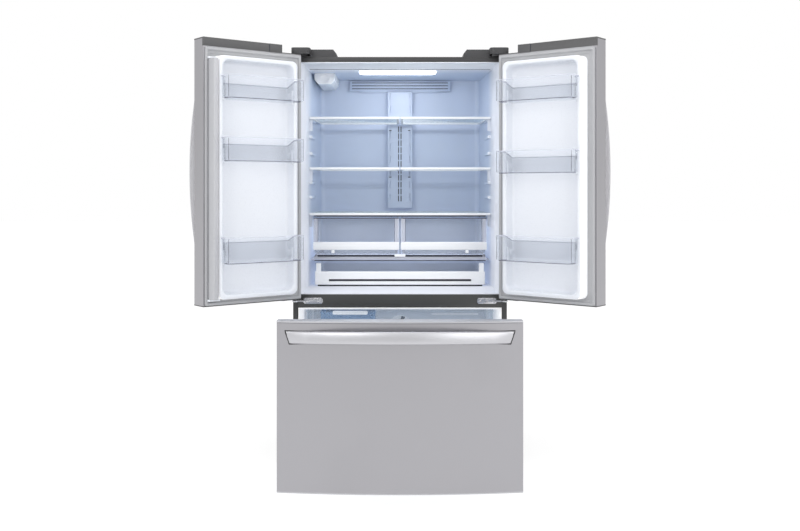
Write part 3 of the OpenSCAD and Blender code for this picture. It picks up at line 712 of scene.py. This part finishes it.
def make_bin(place, body, node, z0, z1):
    def ring(inset, z, dips=True):
        """the upper edge dips by 24 from the front to the back"""
        return [(BIN_C + u, v, z - (24 * max(0.0, min(1.0, (66 - v) / 34)) if dips else 0.0))
                for u, v in bin_ring(inset)]

    def foot(inset, z, a):
        a = radians(a)
        return ring(inset + 7 * (1 - sin(a)), z + 7 * (1 - cos(a)), False)

    turn = (0, 30, 60, 90)
    rings = [foot(2, z0, a) for a in turn]
    rings += [ring(1.6, z1 - 30, False), ring(1.5, z1 - 6), ring(0.2, z1 - 5), ring(0, z1 - 4),
              ring(0, z1 - 1), ring(0.7, z1), ring(3.4, z1), ring(4.0, z1 - 1),
              ring(4.1, z1 - 30, False)]
    rings += [foot(4.5, z0 + 2.8, a) for a in turn[::-1]]
    m = Mesh(place)
    m.loft(rings)
    m.done(node + "_shell", "clear_plastic", body, replaces=(node,), angle=50)
    m = Mesh(place)
    m.ring([ring(-0.4, z1 - 2.6), ring(-0.4, z1 + 0.4), ring(3.4, z1 + 0.4), ring(3.4, z1 - 0.4)])
    m.done(node + "_rim", "bin_rim", body, "clear_plastic", angle=40)
    m = Mesh(place)  # darker line round the foot, and one down each front corner
    outer, inner = [[p for p in bin_ring(inset) if p[1] > RIM_H + 12] for inset in (8.6, 10.6)]
    m.loft([[(BIN_C + u, v, z) for u, v in outer + inner[::-1]] for z in (z0 + 0.3, z0 + 3.2)])
    for s in (-1, 1):
        corner = BIN_C + s * 169.2
        m.pill((corner - 0.8, 113.3, z0 + 5), (corner + 0.8, 114.9, z1 - 5), 0.6, axis=2)
    m.done(node + "_foot", "bin_edge", body, "clear_plastic", angle=40)


def make_door(side, tag):
    body, place = tag + "_door", door(side)
    door_front(place, body, tag)
    door_lining(side, place, body, tag)
    door_seal(place, body, tag)
    door_handle(place, body, tag)
    for label, (z0, z1) in zip(BIN_NAMES, BINS[tag]):
        make_bin(place, body, f"{tag}_bin_{label}", z0, z1)


make_door(1, "left")
make_door(-1, "right")
refine("flip_mullion", "grey_mullion", "grey_mullion", 1.5, 3)

# ---------- freezer drawer ----------

BOW_DIP = BOW_R - sqrt(BOW_R ** 2 - HANDLE_X ** 2)  # fall of the front at the handle's ends
TILT = radians(6)  # the handle's face looks up a little


def on_drawer_flat(a, u, stand):
    """point on the drawer's handle or the painted shade round its ends, with its face kept
    parallel to the front
    """
    v = front_depth(a, 0) - stand
    return (a, v, HANDLE_Z + u * cos(TILT) + (-v - SLAB + BOW_DIP) * sin(TILT))


def on_drawer(a, u, stand):
    """the same with the face leaning, but flat on the front at both ends"""
    x, v, z = on_drawer_flat(a, u, stand)
    lean = sin(TILT) * min(1.0, max(0.0, (HANDLE_X - abs(a)) / 90))
    return (x, v + u * lean, z)


m = Mesh(drawer)
sheet_part(m, -HX, HX, DRAWER_Z0 + 5, DRAWER_Z1 - 7.4, True, 0)
m.done("drawer_sheet", "brushed_stainless", "freezer_drawer", replaces=("drawer_skin",), angle=50)
refine("drawer_caps", "silver_trim", "cap_plastic", 1.0)

# painted shade: a dark strip set just inside the groove under the top cap
m = Mesh(drawer)
outer, inner = [shell_path(-HX, HX, inset, False, 0) for inset in (0.7, 1.15)]
m.loft([[(x, v, z) for x, v in outer + inner[::-1]] for z in (GROOVE_Z, DRAWER_Z1 - 5.9)])
m.done("drawer_groove", "slot_dark", "freezer_drawer", "cap_plastic", angle=50)

m = Mesh(drawer)
handle_bar(m, HANDLE_X, HANDLE_OUT + BOW_DIP, lambda a: BOW_DIP - (front_depth(a, 0) + SLAB),
           on_drawer, DRAWER_BAR, DRAWER_SLANT)
painted_light_inside(m.done("drawer_handle_bar", "handle_stainless", "freezer_drawer",
                    replaces=("drawer_handle",), angle=45))
# painted shade: dark rims round the drawer handle's ends, where the bar meets the front
m = Mesh(drawer)
handle_end_shade(m, HANDLE_X, on_drawer_flat, DRAWER_BAR, DRAWER_SLANT, 110, 70)
m.done("drawer_handle_seats", "dark_plastic", "freezer_drawer", "cap_plastic", angle=30)

refine("drawer_liner", "white_liner", "white_liner", 2.0, 3)
refine("drawer_foam", "foam", "foam", 0.4, 1)
seal = ((0.4, -11.6), (0, -10), (0, -4), (0.8, -1.8), (2.4, -1.2), (8.5, -1.2), (10, -2),
        (10.6, -4), (10.4, -7), (12, -8.8), (15, -7.6), (18, -9.0), (23, -9.6), (23.2, -11.8))
m = Mesh(lambda p: (p[0], p[1] + DRAWER_Y, p[2]))
m.ring([[(x, v, z) for x, z in rounded(-HX + 5 + i, DRAWER_Z0 + 6 + i, HX - 5 - i,
                                       DRAWER_Z1 - 7 - i, 6, 5)] for i, v in seal])
m.done("drawer_seal", "gasket_grey", "freezer_drawer", replaces=("drawer_gasket",), angle=60)

lo, hi = box_mm("freezer_basket")
m = tub(lo, hi, 20, fillet=12, lip=4, draft=3)
m.block((-2, lo[1] + 10, lo[2] + 4), (2, hi[1] - 10, hi[2] - 80))  # divider
for k in range(9):  # ribs on the front wall
    x = lo[0] + 80 + k * (hi[0] - lo[0] - 160) / 8
    m.pill((x - 3, lo[1] + 4.4, lo[2] + 40), (x + 3, lo[1] + 6.4, hi[2] - 40), 2.5, axis=1,
           soft=0.6)
m.done("freezer_basket_tub", "basket_plastic", "freezer_drawer", replaces=("freezer_basket",),
       angle=50)
for node in ("rail_middle", "rail_inner", "drawer_rails"):
    refine(node, "rail_steel", "rail_steel", 0.5)
lo, hi = box_mm("freezer_tray")
m = tub(lo, hi, 16, wall=2.6)
m.done("freezer_tray_tub", "tray_plastic", "upper_tray", replaces=("freezer_tray",), angle=50)
m = tub((-345, lo[1] + 12, lo[2] + 4), (-105, lo[1] + 250, hi[2] - 6), 14, wall=2.2, lip=2.5)
m.done("ice_bin", "ice_blue", "upper_tray", "tray_plastic", angle=50)
m = Mesh()
m.pill((-289, lo[1] + 4, hi[2] - 17), (-139, lo[1] + 12, hi[2] - 0.5), 5, axis=1, soft=1.2)
m.done("ice_bin_grip", "white_trim", "upper_tray", "tray_plastic", angle=50)

# ---------- cabinet ----------

refine("case_shell", "dark_case_paint", "dark_case_paint", 0.6)
refine("mullion_rail", "flange_paint", "dark_case_paint", 0.6)
refine("base_frame", "dark_frame_paint", "dark_frame_paint", 0.6)
refine("kick_grille", "dark_plastic", "dark_plastic", 0.8)
refine("back_panel", "galvanised_back", "galvanised_back", 0.5)
refine("machine_cover", "galvanised_back", "galvanised_back", 0.4)
for node in ("insulation_foam", "left_door_foam", "right_door_foam"):
    refine(node, "foam", "foam", 0.5, 1)
# painted shade: the lining is darker and bluer towards the back
refine("fresh_food_liner", "cavity_liner", "white_liner", 1.2)
# painted light: the freezer lining glows faintly
refine("freezer_liner", "rim_white", "white_liner", 1.2)
refine("top_hinges", "hinge_steel", "hinge_steel", 1.0)
refine("hinge_covers", "cover_plastic", "cover_plastic", 2.5, 3)
refine("lower_hinges", "plated_hinge", "plated_hinge", 0.8)
refine("air_duct", "cavity_liner", "white_liner", 3.0, 3)
refine("shelf_frames", "white_trim", "white_trim", 0.8)
refine("shelf_panes", "shelf_glass", "shelf_glass", 0.4)
refine("pantry_cover", "bin_rim", "white_trim", 0.8)
refine("light_bar", "lamp_lens", "lamp_lens", 1.0)
refine("filter_housing", "white_trim", "white_trim", 3.0, 3)
refine("evaporator_cover", "white_liner", "white_liner", 0.6)
refine("evaporator_fan", "dark_plastic", "dark_plastic", 0.4)
refine("compressor", "black_paint", "black_paint", 2.0, 3)
refine("cord_gland", "black_rubber", "black_rubber", 0.6)
refine("levelling_feet", "dark_frame_paint", "dark_frame_paint", 0.6)
refine("rear_rollers", "dark_plastic", "dark_plastic", 0.8)


def shelf_nose(z, x0, x1, name):
    """rounded front trim of a shelf"""
    section = [(131, z - 9), (130.4, z - 6), (130.2, z - 3), (130.6, z - 0.8), (132, z),
               (139, z + 0.1), (140, z - 0.6), (140, z - 9)]
    m = Mesh()
    m.loft([[(x, y - 0.6, zz) for y, zz in section] for x in (x0, x1)])
    m.done(name, "white_trim", "cabinet", angle=60)


for i, z in enumerate(SHELVES):
    shelf_nose(z, -396, -2.5, f"shelf_nose_{i}_left")
    shelf_nose(z, 2.5, 396, f"shelf_nose_{i}_right")
shelf_nose(LOW_SHELF, -396, 396, "shelf_nose_low")

m = Mesh()  # louvres at the top of the rear wall
m.pill((-240, 524, 1645), (240, 549.5, 1694), 6, axis=1, soft=2)
for z in LOUVRES:
    m.pill((-232, 517, z - 4.5), (232, 525, z), 2, axis=0, soft=1)
m.done("rear_louvres", "cavity_liner", "cabinet", "white_liner", angle=50)
m = Mesh()  # gaps between the louvres, seam across the ceiling, slots in the air duct
for z in LOUVRES:
    m.pill((-230, 522.6, z + 0.2), (230, 524.6, z + 4.2), 0.8, axis=0)
m.pill((-392, 90, 1695.6), (392, 93, 1697.4), 0.6, axis=0)
for k in range(11):
    for x in (-9, 3):
        m.pill((x, DUCT_Y, 1118 + k * 33), (x + 4, DUCT_Y + 1.7, 1146 + k * 33), 1.6, axis=1)
for z in (1487, 1455, 1262, 1232):
    for x in (-52, 38):
        m.pill((x, DUCT_Y, z), (x + 12, DUCT_Y + 1.7, z + 3.6), 1.4, axis=1)
m.done("lining_slots", "slot_dark", "cabinet", "white_liner", angle=50)
m = Mesh()  # ridges on the side walls
for x0, x1 in ((-WALL_X, -WALL_X + 17), (WALL_X - 17, WALL_X)):
    for z in (1407, 1334, 1205, 1140):
        m.pill((x0, 150, z - 7), (x1, 330, z + 7), 5, axis=1, soft=4)
m.done("wall_ridges", "cavity_liner", "cabinet", "white_liner", angle=50)

# ---------- crispers and pantry ----------


def make_crisper(s, tag):
    body = "crisper_" + tag
    m = tub(*box_mm(body + "_bin"), 14, fillet=10, lip=2.5)
    m.done(body + "_tub", "clear_plastic", body, replaces=(body + "_bin",), angle=50)
    x0, x1 = sorted((s * 3.5, s * 380))
    m = Mesh()  # white band, with the tab of its slide below
    m.pill((x0, 122, 911), (x1, 134, 945), 5, axis=1, soft=1.5)
    a, b = sorted((s * 286, s * 300))
    m.pill((a, 119.7, 896.5), (b, 124, 910), 2.5, axis=1, soft=0.8)
    m.done(body + "_front", "white_trim", body, replaces=(body + "_band",), angle=50)
    m = Mesh()
    m.pill((x0 + 2, 124.5, 893), (x1 - 2, 130, 910.5), 3, axis=1, soft=0.8)
    m.done(body + "_slide", "clear_plastic", body, "white_trim", angle=50)
    m = Mesh()  # frosted borders of the clear front
    for a, b in ((x0 + 1, x0 + 19), (x1 - 19, x1 - 1)):
        m.pill((a, 127, 944), (b, 133.4, 1047), 3, axis=1, soft=1)
    m.done(body + "_borders", "bin_rim", body, "clear_plastic", angle=50)
    m = Mesh()
    m.pill((x0 + 1, 127.4, 1047), (x1 - 1, 133.4, 1050.6), 1.5, axis=1, soft=0.5)
    for a in (x0 + 20, x1 - 21.6):
        m.pill((a, 131, 946), (a + 1.6, 133.4, 1047), 0.7, axis=1)
    m.done(body + "_edge_lines", "bin_edge", body, "clear_plastic", angle=50)


make_crisper(-1, "left")
make_crisper(1, "right")
m = tub(*box_mm("pantry_drawer"), 12, lip=2.5)
m.done("pantry_tub", "clear_plastic", "pantry", replaces=("pantry_drawer",), angle=50)
refine("pantry_band", "white_trim", "white_trim", 1.5, 3)
m = Mesh()
m.block((-311, 129.6, 773.6), (311, 130.8, 782.4))
m.done("pantry_band_slot", "slot_dark", "pantry", "white_trim", angle=30)
# painted shadow: a black strip under the pantry drawer, where its shadow falls
m = Mesh()
m.pill((-360, 124, 752.3), (360, 127, 758.2), 1.2, axis=0)
m.done("pantry_stop_strip", "black_rubber", "cabinet", angle=40)
m = Mesh()  # painted shade: dark lines above, between and below the drawers, where shadow falls in the gaps
m.pill((-374, 142, 871.2), (374, 144, 888), 0.8, axis=0)
m.pill((-374, 125.2, 862.3), (374, 126.4, 866.6), 0.5, axis=0)
m.pill((-376, 131, 1056), (376, 133, 1061.8), 0.8, axis=0)
m.done("crisper_shade_strips", "slot_dark", "cabinet", "black_rubber", angle=40)
m = Mesh()
m.pill((-24, 124, 880.3), (24, 142, 890.6), 4, axis=1, soft=1.5)
m.done("crisper_middle_guide", "white_trim", "cabinet", angle=40)
# painted shade: a dark strip in the gap between the two crispers
m = Mesh()
m.pill((-1.5, 134, 891.5), (1.5, 140, 1050), 0.8, axis=2)
m.done("crisper_divider", "slot_dark", "cabinet", "black_rubber", angle=40)

# ---------- screws and small parts ----------

m = Mesh()
for s in (-1, 1):
    screw(m, (s * 400, -3.0, 696), 1, -1, HINGE_SCREW)
    screw(m, (s * 368, -3.0, 703), 1, -1, HINGE_SCREW)
m.done("lower_hinge_screws", "plated_hinge", "cabinet", angle=35)
m = Mesh()
for s in (-1, 1):
    screw(m, (s * 380, 56, 1769.6), 2, 1, SMALL_SCREW)
m.done("hinge_cover_screws", "hinge_steel", "cabinet", "cover_plastic", angle=35)
m = Mesh()
for s in (-1, 1):
    m.lathe((s * (HX - PIN_IN), PIN_V - GAP, 708.4), 2, [(12, 0), (12, 2.6)], 28)
m.done("lower_hinge_washers", "black_rubber", "cabinet", angle=35)
for s, tag in ((1, "left"), (-1, "right")):
    m = Mesh(door(s))
    m.pill((24, -44, 711.8), (86, -12, 714.8), 7, axis=2, soft=0.6)
    m.done(tag + "_door_closer_plate", "plated_hinge", tag + "_door", angle=40)
    m = Mesh(door(s))
    m.pill((22, -46, 713.4), (88, -10, 715.2), 8, axis=2)
    m.done(tag + "_door_closer_shim", "black_rubber", tag + "_door", "cap_plastic", angle=40)
m = Mesh()
for k in range(8):
    for s in (-1, 1):
        screw(m, (s * 440, 636.0, 330 + k * 195), 1, 1, SMALL_SCREW)
m.done("back_screws", "rail_steel", "cabinet", angle=35)

# ---------- stage, lights, camera, in metres ----------

bm = bmesh.new()
bmesh.ops.create_grid(bm, x_segments=1, y_segments=1, size=30)
me = bpy.data.meshes.new("floor")
bm.to_mesh(me)
bm.free()
floor = bpy.data.objects.new("floor", me)
bpy.context.scene.collection.objects.link(floor)
me.materials.append(material("floor_white", (0.34, 0.34, 0.34), rough=0.8, tint=0.01, grain=3,
                             bump=0.02, Emission_Color=WHITE_GLOW, Emission_Strength=0.76))

scene = bpy.context.scene
sky = bpy.data.worlds.new("studio")
scene.world = sky
sky.use_nodes = True
nt = sky.node_tree
plain = nt.nodes["Background"]
plain.inputs["Color"].default_value = (1, 1, 1, 1)
direction = add(nt, "ShaderNodeTexCoord")
axes = add(nt, "ShaderNodeSeparateXYZ")
nt.links.new(direction.outputs["Generated"], axes.inputs[0])
side = add(nt, "ShaderNodeMath", operation="ABSOLUTE")
nt.links.new(axes.outputs["X"], side.inputs[0])
wide = add(nt, "ShaderNodeMath", operation="MAXIMUM")
nt.links.new(side.outputs[0], wide.inputs[0])
nt.links.new(axes.outputs["Y"], wide.inputs[1])
glow = add(nt, "ShaderNodeMapRange")  # brighter at both sides and behind the object than in front
glow.inputs["To Min"].default_value, glow.inputs["To Max"].default_value = 0.4, 1.0
nt.links.new(wide.outputs[0], glow.inputs["Value"])
nt.links.new(glow.outputs[0], plain.inputs["Strength"])
seen = add(nt, "ShaderNodeBackground")  # the backdrop itself is plain white
seen.inputs["Color"].default_value = (1, 1, 1, 1)
seen.inputs["Strength"].default_value = 1.0
path = add(nt, "ShaderNodeLightPath")
mix = add(nt, "ShaderNodeMixShader")
nt.links.new(path.outputs["Is Camera Ray"], mix.inputs[0])
nt.links.new(plain.outputs[0], mix.inputs[1])
nt.links.new(seen.outputs[0], mix.inputs[2])
nt.links.new(mix.outputs[0], nt.nodes["World Output"].inputs["Surface"])


def lamp(name, at, to, w, h, power, colour=(1, 1, 1)):
    data = bpy.data.lights.new(name, "AREA")
    data.shape, data.size, data.size_y, data.energy = "RECTANGLE", w, h, power
    data.color = colour
    o = bpy.data.objects.new(name, data)
    scene.collection.objects.link(o)
    o.location = at
    o.rotation_euler = (Vector(to) - Vector(at)).to_track_quat("-Z", "Y").to_euler()


COOL, COOLER = (0.96, 0.97, 1.0), (0.95, 0.97, 1.0)
lamp("key", (-2.6, -4.6, 3.0), (0, 0, 0.9), 2.5, 2.5, 62)
lamp("fill", (2.8, -4.2, 2.2), (0, 0, 1.0), 2.5, 2.5, 46)
lamp("top", (0, -1.2, 4.0), (0, 0, 0.6), 3.0, 2.0, 40)
lamp("front_low", (0, -1.5, 1.0), (0, 0.3, 0.95), 0.7, 0.5, 0.4)
lamp("crisper_glow", (0, 0.3, 1.044), (0, 0.3, 0.5), 0.7, 0.26, 1.5, COOL)
lamp("pantry_glow", (0, 0.3, 0.849), (0, 0.3, 0.5), 0.7, 0.26, 0.7, COOL)
lamp("cavity", (0, 0.19, 1.683), (0, 0.38, 1.0), 0.32, 0.05, 1.3, COOLER)

cam = bpy.data.cameras.new("camera")
cam.lens, cam.sensor_width = 43.2, 36
cam.shift_y = -0.096  # level camera above mid-height: the shift takes in the whole drawer
cam.clip_end = 100
eye = bpy.data.objects.new("camera", cam)
scene.collection.objects.link(eye)
eye.location = (0, -4.077, 1.1785)
eye.rotation_euler = (pi / 2, 0, 0)
scene.camera = eye
scene.view_settings.view_transform = "Standard"
scene.view_settings.look = "None"
